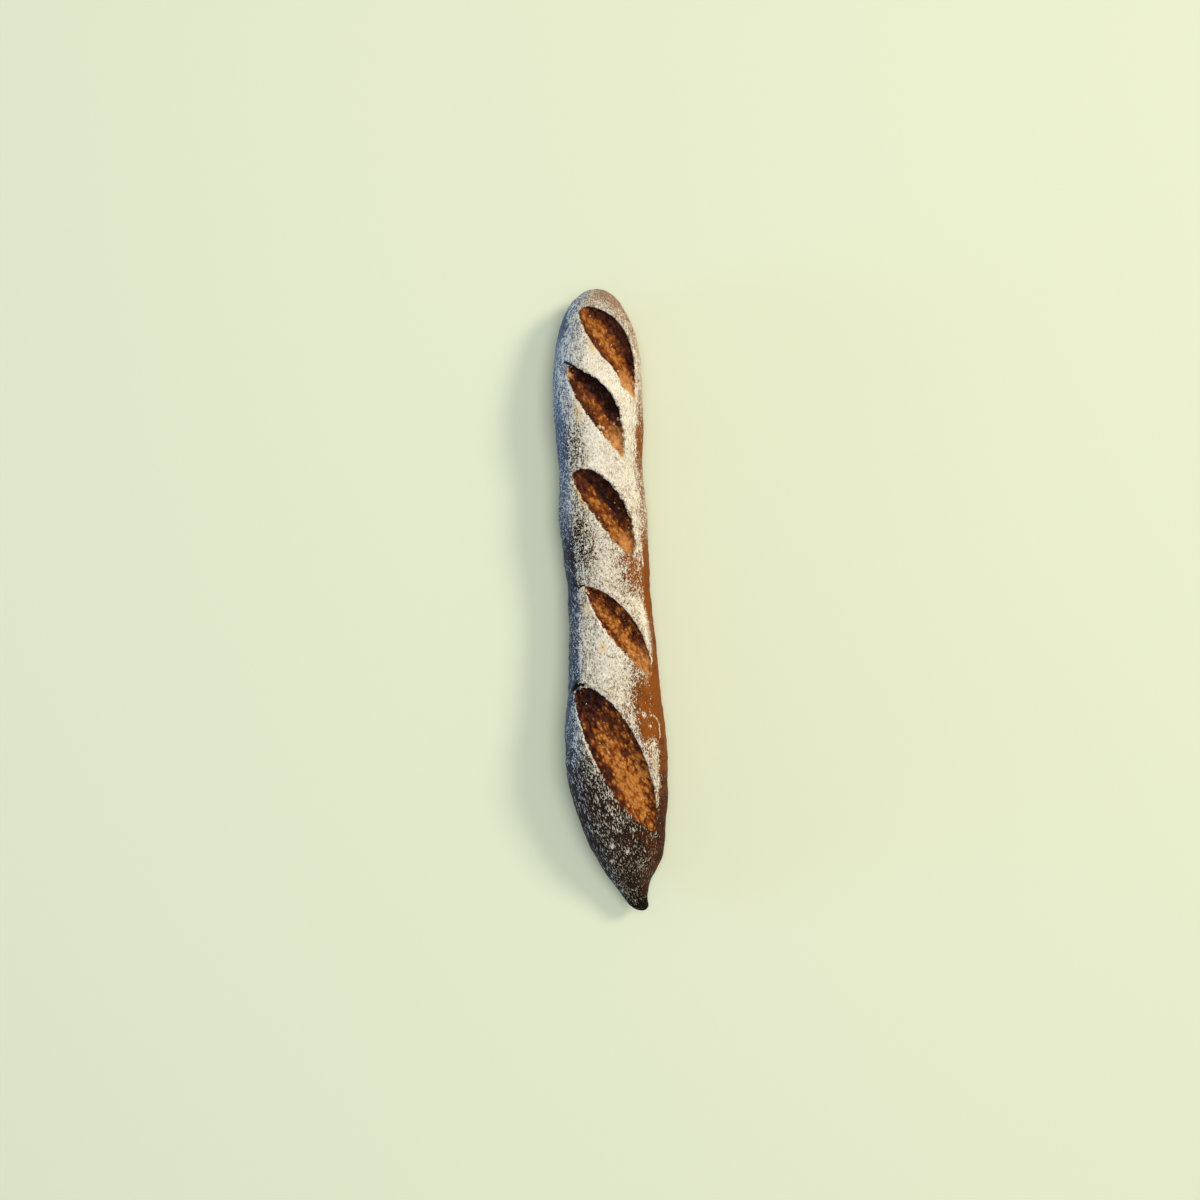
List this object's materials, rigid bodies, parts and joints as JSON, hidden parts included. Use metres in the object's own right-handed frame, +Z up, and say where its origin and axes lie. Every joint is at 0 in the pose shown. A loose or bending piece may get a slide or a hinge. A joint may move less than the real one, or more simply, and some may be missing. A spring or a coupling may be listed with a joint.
{
  "type": "baguette",
  "caption": "Short crusty bread stick lying flat, with a rounded end, a pointed end and slanting scored openings along its floured top.",
  "frame": {"origin": "middle of the loaf's box on its flat underside, which lies on the table", "axes": "+Z up through the scored top, +Y along the loaf towards the rounded end, so -Y is the pointed end"},
  "size_m": [0.0536, 0.3298, 0.0438],
  "materials": {
    "crust": null
  },
  "bodies": {
    "root": {"loaf": "crust"}
  },
  "joints": []
}
